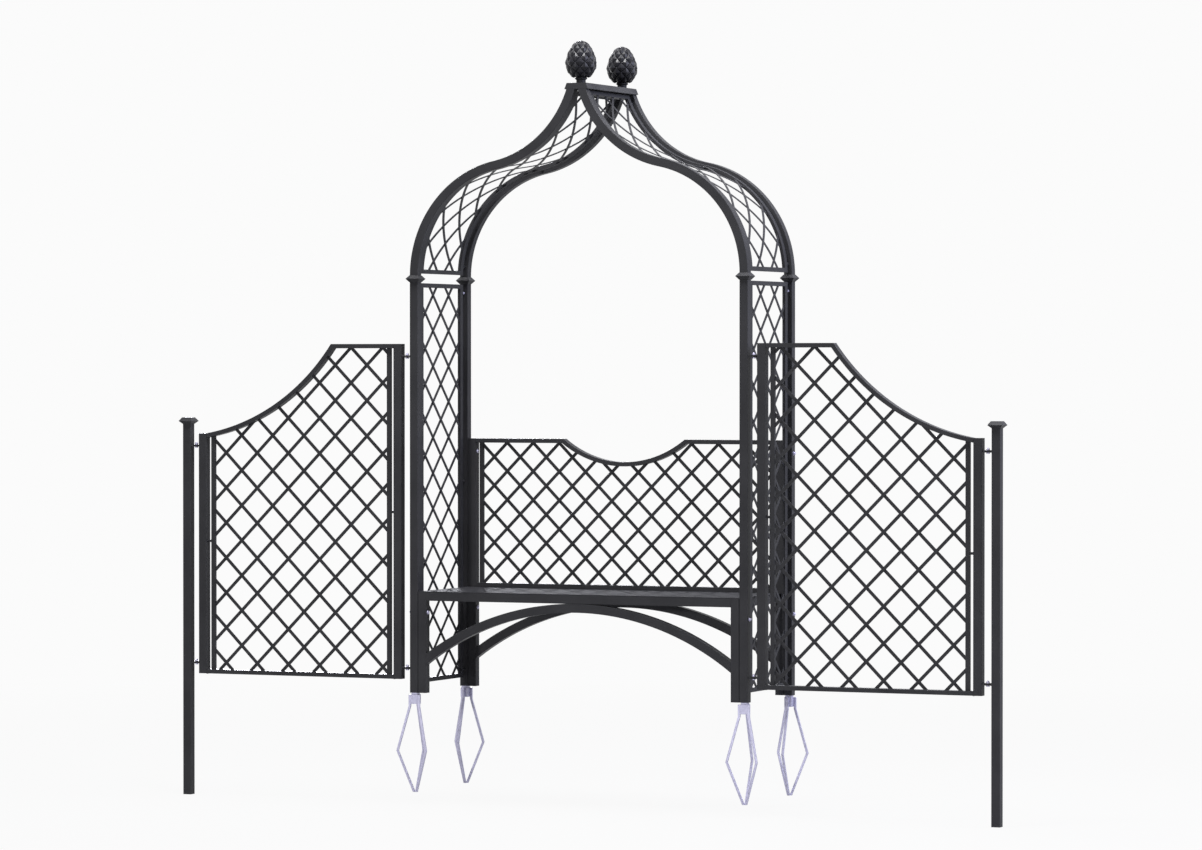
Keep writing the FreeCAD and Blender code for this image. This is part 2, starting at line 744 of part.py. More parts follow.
lower_lug = -lug_thickness - lug_play / 2
upper_lug = lug_play / 2
arch_lugs = [lug(post_outer, inner_hinge_x, z + lower_lug) for z in inner_hinge_heights]
add("arch_lugs", *arch_lugs, *[mirror_x(shape) for shape in arch_lugs])
wing_bolts = []
for z in inner_hinge_heights:
    wing_bolts.extend(hinge_bolt(inner_hinge_x, z))
add("wing_hinge_bolts", *wing_bolts, *[mirror_x(shape) for shape in wing_bolts])

# Wing uprights
add_both("wing_inner_upright", standing_tube(wing_inner_x, -post_y, (wing_bottom, wing_top), rail_wall))
add_both("wing_outer_upright", standing_tube(wing_outer_x, -post_y, (wing_bottom, wing_outer_top), rail_wall))

# Wing top line: level from the inner upright to a corner, then a hollow curve down to the outer upright
wing_left = wing_inner_x + half
wing_right = wing_outer_x - half
corner_x = wing_left + wing_flat
fall_x = wing_right - corner_x
fall_chord = math.hypot(fall_x, wing_drop)
fall_rise = math.sqrt(wing_arc_radius ** 2 - fall_chord ** 2 / 4)
wing_centre = ((corner_x + wing_right) / 2 + fall_rise * wing_drop / fall_chord,
               wing_top - wing_drop / 2 + fall_rise * fall_x / fall_chord)


def wing_corner(drop):
    """Where the level stretch of the top line, lowered by a drop, meets the curve."""
    return wing_centre[0] - math.sqrt((wing_arc_radius + drop) ** 2 - (wing_centre[1] - wing_top + drop) ** 2)


def wing_height(x, drop):
    """Height of the top line, lowered by a drop."""
    if x <= wing_corner(drop):
        return wing_top - drop
    return wing_centre[1] - math.sqrt((wing_arc_radius + drop) ** 2 - (wing_centre[0] - x) ** 2)


def wing_top_edges(drop, left, right):
    """Edges of the top line, lowered by a drop, between two places."""
    corner = wing_corner(drop)
    edges = []
    if left < corner:
        edges.append(line((left, wing_top - drop), (min(right, corner), wing_top - drop)))
    if right > corner:
        radius = wing_arc_radius + drop
        turns = []
        for x in (max(left, corner), right):
            turns.append(math.atan2(wing_height(x, drop) - wing_centre[1], x - wing_centre[0]))
        edges.append(arc(wing_centre, radius, *turns))
    return edges


def wing_rail_face(skin, left, right):
    """Face of the wing's top rail, drawn in from its surface by a skin."""
    low = rail_height - skin
    edges = wing_top_edges(skin, left, right) + wing_top_edges(low, left, right)
    for x in (left, right):
        edges.append(line((x, wing_height(x, skin)), (x, wing_height(x, low))))
    return flat_face(edges)


def wing_panel_face(left, right):
    """Face under the top rail and above the bottom rail, between two places."""
    edges = wing_top_edges(rail_height, left, right)
    edges.append(line((left, wing_rail_over), (right, wing_rail_over)))
    for x in (left, right):
        edges.append(line((x, wing_rail_over), (x, wing_height(x, rail_height))))
    return flat_face(edges)


wing_y = around(-post_y, tube)
wing_rail = slab(wing_rail_face(0, wing_left, wing_right), wing_y)
wing_rail_bore = wing_rail_face(rail_wall, wing_left - overcut, wing_right + overcut)
wing_rail_bore = slab(wing_rail_bore, inset(wing_y, rail_wall))
add_both("wing_top_rail", wing_rail.cut(wing_rail_bore))
add_both("wing_bottom_rail", hollow_bar(((wing_left, wing_right), wing_y, (wing_bottom, wing_rail_over)),
                                        0, rail_wall))

# Wing lattice, with its side bars and the spacers that steady them
clear_left = wing_left + panel_gap + frame_bar_width
clear_right = wing_right - panel_gap - frame_bar_width
wing_panel_y = around(-post_y, frame_bar_depth)
wing_bars = []
for sides in ((clear_left - frame_bar_width, clear_left), (clear_right, clear_right + frame_bar_width)):
    bore = block(inset(sides, frame_bar_wall), inset(wing_panel_y, frame_bar_wall), (wing_bottom, wing_top))
    wing_bars.append(slab(wing_panel_face(*sides), wing_panel_y).cut(bore))
wing_node = (clear_left + wing_node_in, wing_rail_over + wing_node_up)
for bar in crossed_bars(wing_panel_face(clear_left, clear_right), wing_node, wing_pitch):
    wing_bars.append(bar.translated(Vector(0, -post_y, 0)))
for x, z in ((wing_left, wing_inner_spacer_z), (wing_right - panel_gap, wing_outer_spacer_z)):
    wing_bars.append(Part.makeCylinder(spacer_radius, panel_gap, Vector(x, -post_y, z), Vector(1, 0, 0)))
add_both("wing_lattice", *wing_bars)

wing_lugs = [lug(wing_left - tube, inner_hinge_x, z + upper_lug) for z in inner_hinge_heights]
wing_lugs += [lug(wing_right + tube, outer_hinge_x, z + upper_lug) for z in outer_hinge_heights]
add_both("wing_lugs", *wing_lugs)

# End posts, with their caps, lugs and hinge bolts
end_cap_bottom = end_post_top - end_cap_height
add_both("end_post", standing_tube(end_post_x, -post_y, (-end_post_depth, end_cap_bottom)))
end_cap = tapered(end_post_x, -post_y, [(end_cap_bottom, tube),
                                        (end_cap_bottom + end_cap_waist, end_cap_width),
                                        (end_post_top, end_cap_top_width)])
plug_width = tube - 2 * tube_wall - 2 * sleeve_fit
plug = block(around(end_post_x, plug_width), around(-post_y, plug_width),
             (end_cap_bottom - end_cap_plug, end_cap_bottom + overcut))
add_both("end_post_cap", end_cap.fuse(plug).removeSplitter())
end_lugs = [lug(end_post_x - half, outer_hinge_x, z + lower_lug) for z in outer_hinge_heights]
add_both("end_post_lugs", *end_lugs)
end_bolts = []
for z in outer_hinge_heights:
    end_bolts.extend(hinge_bolt(outer_hinge_x, z))
add_both("end_hinge_bolts", *end_bolts)

# One file per sub-part
os.makedirs("parts", exist_ok=True)
for name, solids in nodes.items():
    shape = solids[0] if len(solids) == 1 else Part.makeCompound(solids)
    shape.exportStep("parts/" + name + ".step")
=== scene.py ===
import json
import math

import bmesh
import bpy
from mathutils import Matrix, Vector


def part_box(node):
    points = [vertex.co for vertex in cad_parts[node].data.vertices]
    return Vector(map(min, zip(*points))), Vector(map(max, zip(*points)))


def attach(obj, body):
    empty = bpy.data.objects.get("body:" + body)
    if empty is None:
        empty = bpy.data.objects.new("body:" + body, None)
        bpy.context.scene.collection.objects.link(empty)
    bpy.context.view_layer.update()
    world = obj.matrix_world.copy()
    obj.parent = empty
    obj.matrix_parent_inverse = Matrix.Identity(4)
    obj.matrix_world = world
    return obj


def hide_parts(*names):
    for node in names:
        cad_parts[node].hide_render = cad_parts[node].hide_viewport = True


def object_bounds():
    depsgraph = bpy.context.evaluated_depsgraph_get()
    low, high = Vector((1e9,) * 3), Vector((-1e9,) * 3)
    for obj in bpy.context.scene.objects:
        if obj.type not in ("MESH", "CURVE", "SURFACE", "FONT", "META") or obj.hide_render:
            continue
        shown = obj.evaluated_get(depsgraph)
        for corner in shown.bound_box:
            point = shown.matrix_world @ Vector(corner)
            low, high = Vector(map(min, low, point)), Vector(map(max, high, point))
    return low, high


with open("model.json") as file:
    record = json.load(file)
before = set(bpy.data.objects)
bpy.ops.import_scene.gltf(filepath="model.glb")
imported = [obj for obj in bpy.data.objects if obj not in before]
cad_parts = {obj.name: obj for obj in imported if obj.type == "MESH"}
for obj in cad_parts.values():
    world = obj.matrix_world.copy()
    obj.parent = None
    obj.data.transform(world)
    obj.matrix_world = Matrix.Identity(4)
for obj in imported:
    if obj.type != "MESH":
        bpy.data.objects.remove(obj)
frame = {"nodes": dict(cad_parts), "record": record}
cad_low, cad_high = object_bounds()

# Rose arch with bench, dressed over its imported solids. Metres, in the frame of the solids:
# +X along the wings, -Y to the front, +Z up, ground level at zero.

scene = bpy.context.scene
nodes = frame["nodes"]
record = frame["record"]
body_of_node = {node: body for body, members in record["behaviour"]["bodies"].items() for node in members}
slot_of_node = {row["node"]: row["material_slot"] for row in record["subparts"]}
SIDES = ("left", "right")
CORNERS = ("front_left", "front_right", "rear_left", "rear_right")
MM = 0.001
UP = Vector((0, 0, 1))

# Coat of each slot: linear colour, roughness, strength of the orange peel and specular level
COAT = {
    "coated_tube": ((0.035, 0.035, 0.038), 0.36, 0.10, 0.04),
    "coated_lattice": ((0.034, 0.034, 0.037), 0.38, 0.10, 0.04),
    "coated_plate": ((0.030, 0.030, 0.033), 0.40, 0.06, 0.0005),
    # The casting's colour is painted shade: it is the same coat as on the tubes, made darker so the finials
    # read as shaded under the lamps and their gloss.
    "coated_casting": ((0.010, 0.010, 0.013), 0.29, 0.04, 0.17),
}

# Patterns in the coats: a noise is a scale and a detail, and the rest is how far it changes the coat
COAT_CLOUD = (5.0, 4.0)
COAT_TONES = (0.86, 1.14)
COAT_DUST = (160.0, 3.0)
COAT_GLOSS = (-0.04, 0.05)
COAT_PEEL = (520.0, 2.0)
COAT_PEEL_DEPTH = 0.0006

# Zinc plate
ZINC_DARK = (0.41, 0.40, 0.53)
ZINC_LIGHT = (0.47, 0.46, 0.60)
ZINC_METALLIC = 0.35
ZINC_SPANGLE = 120.0
ZINC_CLOUD = (60.0, 4.0)
ZINC_GLOSS = (0.34, 0.52)
ZINC_MARKS = (900.0, 2.0)
ZINC_MARK_STRENGTH = 0.12
ZINC_MARK_DEPTH = 0.0004

# Backdrop and floor. The floor shows as backdrop, by a share that grows from near the part to far off
PAPER = (0.965, 0.965, 0.965)
AMBIENT = 0.05
FLOOR_REACH = 60.0
FLOOR_GAP = 1 * MM
FLOOR_GRAIN = (40.0, 3.0)
FLOOR_DARK = (0.49, 0.49, 0.49)
FLOOR_LIGHT = (0.51, 0.51, 0.51)
FLOOR_NEAR = 3.0
FLOOR_FAR = 9.0
FLOOR_NEAR_SHARE = 0.965
FLOOR_FAR_SHARE = 1.0

# Lamps: kind, place, direction of travel, power and further settings
COOL_LIGHT = (0.76, 0.79, 1.0)
PALE_LIGHT = (0.92, 0.93, 1.0)
LAMPS = {
    "front_light": ("SUN", (0, -10, 3), (0.039, 1.0, -0.10), 1.0, {"angle": math.radians(2.0)}),
    "top_light": ("AREA", (0.3, -2.2, 6.8), (-0.3, 2.2, -5.2), 320, {"size": 1.2}),
    "overhead_light": ("AREA", (0.0, -0.3, 7.0), (0, 0, -1), 560,
                       {"shape": "RECTANGLE", "size": 8.0, "size_y": 2.2}),
    "side_light": ("AREA", (5.5, 0.4, 4.5), (-5.0, -0.4, -3.0), 460, {"size": 4.0, "color": COOL_LIGHT}),
    "rear_light": ("SUN", (0, 10, 3), (0.6, -1.0, -0.3), 2.0,
                   {"angle": math.radians(12.0), "color": PALE_LIGHT}),
}

# Camera of the photograph
LENS = 144.97
SENSOR_WIDTH = 36.0
CLIP_END = 200.0
CAMERA_PLACE = (9.0605, -20.2443, 1.4952)
CAMERA_TILT = math.radians(90 - 0.678)
CAMERA_TURN = math.radians(24.120)

# Usual range of a noise or spangle pattern, and the sockets that map one range to another
PATTERN_RANGE = (0.3, 0.7)
RANGE_SOCKETS = ("From Min", "From Max", "To Min", "To Max")


class Net:
    """The shader nodes of a material or world, with a short way to add and join them."""

    def __init__(self, owner):
        self.owner = owner
        owner.use_nodes = True
        self.tree = owner.node_tree
        self.tree.nodes.clear()

    def add(self, kind, **settings):
        """Adds a shader node, with values for its properties and its sockets."""
        node = self.tree.nodes.new("ShaderNode" + kind)
        for key, value in settings.items():
            if key in node.bl_rna.properties:
                setattr(node, key, value)
            else:
                node.inputs[key].default_value = value
        return node

    def join(self, source, output, target, socket):
        self.tree.links.new(source.outputs[output], target.inputs[socket])

    def noise(self, place, scale, detail):
        node = self.add("TexNoise", Scale=scale, Detail=detail)
        self.join(place, "Object", node, "Vector")
        return node

    def map_range(self, source, output, *limits):
        """Maps a value from one range to another, given as their four limits."""
        node = self.add("MapRange")
        for socket, value in zip(RANGE_SOCKETS, limits):
            node.inputs[socket].default_value = value
        self.join(source, output, node, "Value")
        return node

    def ramp(self, source, output, low, high):
        """Blends two colours by a pattern."""
        node = self.add("ValToRGB")
        for stop, place, colour in zip(node.color_ramp.elements, PATTERN_RANGE, (low, high)):
            stop.position = place
            stop.color = (*colour, 1)
        self.join(source, output, node, "Fac")
        return node

    def bump(self, pattern, shader, strength, distance):
        """Roughens the surface of a shader by a pattern."""
        node = self.add("Bump", Strength=strength, Distance=distance)
        self.join(pattern, "Fac", node, "Height")
        self.join(node, "Normal", shader, "Normal")

    def show(self, shader, output, kind):
        """Sends a shader to the output."""
        self.join(shader, output, self.add(kind), "Surface")


def shaded(colour, factor):
    """A colour made darker or lighter."""
    return tuple(part * factor for part in colour)


def coat_material(name, colour, roughness, peel, specular):
    """Satin powder coat: a faint cloud in its tone, an orange-peel surface and fine dust in its gloss."""
    net = Net(bpy.data.materials.new(name))
    place = net.add("TexCoord")
    shader = net.add("BsdfPrincipled")
    shader.inputs["Specular IOR Level"].default_value = specular
    dark, light = (shaded(colour, factor) for factor in COAT_TONES)
    tone = net.ramp(net.noise(place, *COAT_CLOUD), "Fac", dark, light)
    net.join(tone, "Color", shader, "Base Color")
    limits = [roughness + change for change in COAT_GLOSS]
    gloss = net.map_range(net.noise(place, *COAT_DUST), "Fac", *PATTERN_RANGE, *limits)
    net.join(gloss, "Result", shader, "Roughness")
    net.bump(net.noise(place, *COAT_PEEL), shader, peel, COAT_PEEL_DEPTH)
    net.show(shader, "BSDF", "OutputMaterial")
    return net.owner


def zinc_material():
    """Zinc plate: spangled in tone, cloudy in gloss, with fine drawn marks."""
    net = Net(bpy.data.materials.new("zinc_steel"))
    place = net.add("TexCoord")
    shader = net.add("BsdfPrincipled", Metallic=ZINC_METALLIC)
    spangle = net.add("TexVoronoi", Scale=ZINC_SPANGLE)
    net.join(place, "Object", spangle, "Vector")
    tone = net.ramp(spangle, "Color", ZINC_DARK, ZINC_LIGHT)
    net.join(tone, "Color", shader, "Base Color")
    gloss = net.map_range(net.noise(place, *ZINC_CLOUD), "Fac", *PATTERN_RANGE, *ZINC_GLOSS)
    net.join(gloss, "Result", shader, "Roughness")
    net.bump(net.noise(place, *ZINC_MARKS), shader, ZINC_MARK_STRENGTH, ZINC_MARK_DEPTH)
    net.show(shader, "BSDF", "OutputMaterial")
    return net.owner


paint = {slot: coat_material(slot, *finish) for slot, finish in COAT.items()}
paint["zinc_steel"] = zinc_material()
for name, node in nodes.items():
    node.data.materials.clear()
    node.data.materials.append(paint[slot_of_node[name]])

# Faces that meet at more than this many degrees have a sharp edge between them
SHARP_ANGLE = 32


class Shells:
    """Collects the closed shells that make up one piece."""

    def __init__(self):
        self.places = []
        self.faces = []

    def tube(self, rings):
        """Closed shell through rings with equal counts, with a flat face at each end."""
        start = len(self.places)
        count = len(rings[0])
        for ring in rings:
            self.places.extend(ring)
        for level in range(len(rings) - 1):
            low = start + level * count
            for step in range(count):
                after = (step + 1) % count
                self.faces.append((low + step, low + after, low + count + after, low + count + step))
        last = start + (len(rings) - 1) * count
        self.faces.append(tuple(range(start + count - 1, start - 1, -1)))
        self.faces.append(tuple(range(last, last + count)))


def place_piece(name, mesh, body, slot, replaced=()):
    """Puts a mesh in the scene on its body, with its finish."""
    piece = bpy.data.objects.new(name, mesh)
    scene.collection.objects.link(piece)
    mesh.materials.append(paint[slot])
    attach(piece, body)
    if replaced:
        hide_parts(*replaced)
    return piece


def build(name, shells, body, slot, replaced=(), angle=SHARP_ANGLE):
    """Makes a piece from its shells, with the faces turned outwards."""
    mesh = bpy.data.meshes.new(name)
    mesh.from_pydata(shells.places, [], shells.faces)
    work = bmesh.new()
    work.from_mesh(mesh)
    bmesh.ops.recalc_face_normals(work, faces=work.faces)
    work.to_mesh(mesh)
    work.free()
    mesh.shade_smooth()
    mesh.set_sharp_from_angle(angle=math.radians(angle))
    place_piece(name, mesh, body, slot, replaced)


# Nodes whose edges are eased, with the width of the ease in millimetres
EASED = {"post_collars": 1.0, "ridge_cap": 1.5, "seat_plate": 0.8, "back_top_rail": 1.5, "panel_spacers": 0.8,
         "arch_lugs": 0.7, "back_lattice": 0.4}
for side in SIDES:
    EASED.update({side + "_end_post_cap": 1.2, side + "_wing_top_rail": 1.5, side + "_arch_frame": 1.5,
                  side + "_wing_lugs": 0.7, side + "_end_post_lugs": 0.7, side + "_side_lattice": 0.4,
                  side + "_arch_lattice": 0.4, side + "_wing_lattice": 0.4})
for corner in CORNERS:
    EASED["anchor_" + corner] = 0.9
EASE_SEGMENTS = 2
FLAT_ANGLE = 0.5
CORNER_DIGITS = 6


def solids_of(node):
    """The closed solids of a node, each a list of faces that are given by the places of their corners."""
    mesh = nodes[node].data
    solids, faces, open_edges = [], [], {}
    for face in mesh.polygons:
        corners = [tuple(round(part, CORNER_DIGITS) for part in mesh.vertices[index].co)
                   for index in face.vertices]
        faces.append(corners)
        for a, b in zip(corners, corners[1:] + corners[:1]):
            edge = (min(a, b), max(a, b))
            count = open_edges.pop(edge, 0) + (1 if a < b else -1)
            if count:
                open_edges[edge] = count
        if not open_edges:
            solids.append(faces)
            faces = []
    return solids + [faces] if faces else solids


def islands(node):
    """Lowest and highest corner of each solid of a node."""
    boxes = []
    for faces in solids_of(node):
        places = [corner for corners in faces for corner in corners]
        boxes.append((Vector(map(min, *places)), Vector(map(max, *places))))
    return boxes


def soften(node, width):
    """Stands a copy of a node in for it, with its sharp edges eased."""
    work = bmesh.new()
    for faces in solids_of(node):
        made = {corner: work.verts.new(corner) for corners in faces for corner in corners}
        for corners in faces:
            if len(set(corners)) > 2:
                work.faces.new([made[corner] for corner in corners])
    bmesh.ops.dissolve_limit(work, angle_limit=math.radians(FLAT_ANGLE), verts=work.verts, edges=work.edges)
    mesh = bpy.data.meshes.new(node + "_eased")
    work.to_mesh(mesh)
    work.free()
    mesh.shade_smooth()
    piece = place_piece(node + "_eased", mesh, body_of_node[node], slot_of_node[node], (node,))
    ease = piece.modifiers.new("Edges", "BEVEL")
    ease.width = width
    ease.segments = EASE_SEGMENTS
    ease.limit_method = "ANGLE"
    ease.angle_limit = math.radians(SHARP_ANGLE)
    ease.harden_normals = True
    flat = piece.modifiers.new("Normals", "WEIGHTED_NORMAL")
    flat.keep_sharp = True


for node, width in EASED.items():
    soften(node, width * MM)

# Bolts, nuts and washers
BOLT_RADIUS = 4.0 * MM
NUT_WIDTH = 13.0 * MM
NUT_HEIGHT = 6.5 * MM
DOME_HEIGHT = 5.0 * MM
DOME_SHARE = 0.9
WASHER_RADIUS = 8.5 * MM
WASHER_THICK = 0.8 * MM
WASHER_EDGE = 0.25
HEAD_EDGE = 0.16
HEAD_END = 0.96
LAP = 0.3 * MM
ROUND_STEPS = 48
SHANK_STEPS = 24
DOME_STEPS = 6
DOME_TIP = 0.05 * MM


def circle(radius, angle):
    """Reach of a circle, the same at every angle."""
    return radius


def hexagon(radius, angle):
    """Reach of a hexagon with a given radius across its flats."""
    return radius / math.cos((angle + math.pi / 6) % (math.pi / 3) - math.pi / 6)


def turned(centre, axis, levels, count=ROUND_STEPS):
    """Rings about an axis, each level a radius, a height and a shape."""
    side = axis.orthogonal().normalized()
    other = axis.cross(side)
    rings = []
    for radius, height, shape in levels:
        ring = []
        for step in range(count):
            angle = 2 * math.pi * step / count
            reach = shape(radius, angle)
            ring.append(centre + axis * height + (side * math.cos(angle) + other * math.sin(angle)) * reach)
        rings.append(ring)
    return rings


def dome(radius, start, rise):
    """Levels of a rounded top."""
    levels = []
    for step in range(DOME_STEPS + 1):
        turn = math.pi / 2 * step / DOME_STEPS
        levels.append((max(radius * math.cos(turn), DOME_TIP), start + rise * math.sin(turn), circle))
    return levels


def washer(shells, centre, axis, radius, thickness):
    """Flat ring with eased edges."""
    edge = WASHER_EDGE * thickness
    levels = [(radius - edge, 0, circle), (radius, edge, circle),
              (radius, thickness - edge, circle), (radius - edge, thickness, circle)]
    shells.tube(turned(centre, axis, levels))


def chamfered_hexagon(width, low, high):
    """Levels of a hexagon head whose corners are turned off at both ends."""
    flat = width / 2
    edge = HEAD_EDGE * (high - low)
    return [(flat * HEAD_END, low, circle), (flat, low + edge, hexagon), (flat, high - edge, hexagon),
            (flat * HEAD_END, high, circle)]


def cap_nut(shells, seat, axis):
    """Washer, hexagon and dome that stand on a face."""
    washer(shells, seat, axis, WASHER_RADIUS, WASHER_THICK)
    shells.tube(turned(seat, axis, chamfered_hexagon(NUT_WIDTH, WASHER_THICK, NUT_HEIGHT)))
    shells.tube(turned(seat, axis, dome(NUT_WIDTH / 2 * DOME_SHARE, NUT_HEIGHT - LAP, DOME_HEIGHT)))


def rod(shells, start, end):
    """Shank of a bolt."""
    run = end - start
    shank = [(BOLT_RADIUS, 0, circle), (BOLT_RADIUS, run.length, circle)]
    shells.tube(turned(start, run.normalized(), shank, SHANK_STEPS))


def stacked(node, key):
    """Lowest and highest corner of the solids of a node that share a key, read from their middles."""
    stacks = {}
    for low, high in islands(node):
        found = stacks.setdefault(key((low + high) / 2), [low, high])
        found[0] = Vector(map(min, found[0], low))
        found[1] = Vector(map(max, found[1], high))
    return list(stacks.values())


# Bench bolts: mushroom heads on washers against the legs, shanks through leg and post, cap nuts outside
BENCH_HEAD = 8.5 * MM
BENCH_HEAD_EDGE = 1 * MM
BENCH_HEAD_RISE = 5.5 * MM
BENCH_WASHER = 10.0 * MM
BENCH_WASHER_THICK = 1.5 * MM


def bench_bolt_key(middle):
    """Side, depth and height, which are the same for the head, shank and nut of a bench bolt."""
    return middle.x > 0, round(middle.y, 2), round(middle.z, 2)


def bench_bolt(shells, middle):
    """Bolt through a bench leg and the arch post beside it."""
    side = "right" if middle.x > 0 else "left"
    leg_low, leg_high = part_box(side + "_bench_leg")
    post_low, post_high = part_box(side + "_arch_post_front")
    inner_x, outer_x, way = (leg_low.x, post_high.x, 1) if side == "right" else (leg_high.x, post_low.x, -1)
    leg_face = Vector((inner_x, middle.y, middle.z))
    post_face = Vector((outer_x, middle.y, middle.z))
    inward = Vector((-way, 0, 0))
    washer(shells, leg_face, inward, BENCH_WASHER, BENCH_WASHER_THICK)
    head = [(BENCH_HEAD, BENCH_WASHER_THICK - LAP, circle)]
    head += dome(BENCH_HEAD, BENCH_WASHER_THICK + BENCH_HEAD_EDGE, BENCH_HEAD_RISE)
    shells.tube(turned(leg_face, inward, head))
    rod(shells, leg_face, post_face)
    cap_nut(shells, post_face, -inward)


bench_bolts = Shells()
for low, high in stacked("bench_bolts", bench_bolt_key):
    bench_bolt(bench_bolts, (low + high) / 2)
build("bench_bolt_set", bench_bolts, "arch", "zinc_steel", ("bench_bolts",))

# Hinge bolts: hexagon head and washer below the lugs, cap nut above
HINGE_HEAD = 5.5 * MM


def hinge_bolt_key(middle):
    """Hinge line and half metre of height, which are the same for all of one hinge bolt."""
    return round(middle.x, 3), round(middle.z * 2)


def hinge_bolts(node, name):
    """All the hinge bolts of a node, as one piece."""
    shells = Shells()
    for low, high in stacked(node, hinge_bolt_key):
        foot = Vector(((low.x + high.x) / 2, (low.y + high.y) / 2, low.z))
        nut_seat = foot + UP * (high.z - low.z - DOME_HEIGHT - NUT_HEIGHT)
        shells.tube(turned(foot, UP, chamfered_hexagon(NUT_WIDTH, 0, HINGE_HEAD - WASHER_THICK)))
        washer(shells, foot + UP * (HINGE_HEAD - WASHER_THICK), UP, WASHER_RADIUS, WASHER_THICK)
        rod(shells, foot + UP * (HINGE_HEAD - WASHER_THICK - LAP), nut_seat + UP * NUT_HEIGHT)
        cap_nut(shells, nut_seat, UP)
    build(name, shells, body_of_node[node], "zinc_steel", (node,))


hinge_bolts("wing_hinge_bolts", "wing_hinge_bolt_set")
for side in SIDES:
    hinge_bolts(side + "_end_hinge_bolts", side + "_end_hinge_bolt_set")

# Pine-cone finials: a neck with a ring, and an egg that is covered by staggered rows of scales
NECK_RADIUS = 21.5 * MM
NECK_HEIGHT = 15.0 * MM
NECK_STEPS = 64
DISC_RADIUS = 28.5 * MM
DISC_HEIGHT = 12.0 * MM
DISC_LIP = 1.0 * MM
WAIST_HEIGHT = 1.0 * MM
CONE_RADIUS = 72.0 * MM
CONE_LOWER = 75.0 * MM
CONE_UPPER = 101.0 * MM
CONE_BASE = 36.0 * MM
CONE_TAPER = 0.18
CONE_SKIN = 5.5 * MM
CORE_DROP = 3.5 * MM
CORE_STRIDE = 8
EGG_STEPS = 240
EGG_TIP = 0.3 * MM
BUTTON_RADIUS = 17.0 * MM
BUTTON_RISE = 10.0 * MM
BUTTON_STEPS = 36
SCALE_COUNT = 9
SCALE_ROWS = 8
FRONT_ROW = 4
FIRST_ROW = 12.0 * MM
ROW_STEP = 22.0 * MM

# Scales: each stands on a diamond of the egg, with a steep rim, a low peak and a slightly raised upper corner
SCALE_PEAK = 8.5 * MM
SCALE_TIP = 1.8 * MM
SCALE_RIM = -2.0 * MM
SCALE_ROOT = -4.0 * MM
SCALE_REACH = 1.14
SCALE_INNER = 0.2 * MM
SCALE_ANGLE = 15
EDGE_STEPS = 3
DIAMOND = ((0, 0), (1, 0), (1, 1), (0, 1))

# Face of a scale: shares of the way in from its rim, each with the share of the height there
SCALE_FACE = ((0, 0), (0.14, 0.42), (0.55, 0.74), (0.98, 1.0))


def egg_line(bottom):
    """Places up the side of the egg under its scales: length, radius, height and outward direction."""
    start = -math.acos(CONE_BASE / CONE_RADIUS)
    middle = bottom - CONE_LOWER * math.sin(start)
    outline = []
    for step in range(EGG_STEPS + 1):
        turn = start + (math.pi / 2 - start) * step / EGG_STEPS
        rise = math.sin(turn)
        radius = CONE_RADIUS * math.cos(turn) * (1 - CONE_TAPER * max(0, rise)) - CONE_SKIN
        outline.append((max(radius, EGG_TIP), middle + (CONE_UPPER if rise > 0 else CONE_LOWER) * rise))
    line = []
    length = 0.0
    for step, (radius, height) in enumerate(outline):
        before, after = outline[max(step - 1, 0)], outline[min(step + 1, EGG_STEPS)]
        length += math.hypot(radius - before[0], height - before[1])
        out = Vector((after[1] - before[1], before[0] - after[0])).normalized()
        line.append((length, radius, height, out))
    return line


def on_egg(line, length, angle, height):
    """Place on the egg at a length up its side, an angle about its axis and a height off its surface."""
    share = min(max(length / line[-1][0], 0.0), 1.0)
    low = 0
    high = len(line) - 1
    while high - low > 1:
        middle = (low + high) // 2
        if line[middle][0] <= share * line[-1][0]:
            low = middle
        else:
            high = middle
    radius, z, out = line[low][1:]
    reach = max(radius + out.x * height, SCALE_INNER)
    return Vector((reach * math.cos(angle), reach * math.sin(angle), z + out.y * height))


def diamond_edge():
    """Places round a diamond, each given along its two slanting sides."""
    places = []
    for (u, v), (next_u, next_v) in zip(DIAMOND, DIAMOND[1:] + DIAMOND[:1]):
        for step in range(EDGE_STEPS):
            share = step / EDGE_STEPS
            places.append((u + (next_u - u) * share, v + (next_v - v) * share))
    return places


def finial_scale(line, middle, angle):
    """Rings of the scale at a length up the egg and an angle about it, from its root to its peak."""
    room = math.pi / SCALE_COUNT

    def place(u, v, lift):
        rise = ROW_STEP * (u + v - 1)
        return on_egg(line, middle + rise * (SCALE_REACH if rise > 0 else 1), angle + room * (u - v), lift)

    rings = [[place(u, v, SCALE_ROOT) for u, v in diamond_edge()]]
    for share, height in SCALE_FACE:
        ring = []
        for u, v in diamond_edge():
            lift = SCALE_RIM + SCALE_PEAK * height + SCALE_TIP * min(u, v) * (1 - share)
            ring.append(place(u + (0.5 - u) * share, v + (0.5 - v) * share, lift))
        rings.append(ring)
    return rings


def finial_neck(node, centre, foot, bottom):
    """Stem with a ring, from the ridge cap up to the egg."""
    neck = Shells()
    stem = [(NECK_RADIUS, foot, circle), (NECK_RADIUS, bottom + LAP, circle)]
    neck.tube(turned(centre, UP, stem, NECK_STEPS))
    ring_edge = foot + NECK_HEIGHT + DISC_HEIGHT / 2
    ring = [(NECK_RADIUS, ring_edge - DISC_HEIGHT / 2, circle), (DISC_RADIUS, ring_edge - DISC_LIP, circle),
            (DISC_RADIUS, ring_edge + DISC_LIP, circle), (NECK_RADIUS, ring_edge + DISC_HEIGHT / 2, circle)]
    neck.tube(turned(centre, UP, ring, NECK_STEPS))
    build(node + "_neck", neck, "arch", "coated_tube")


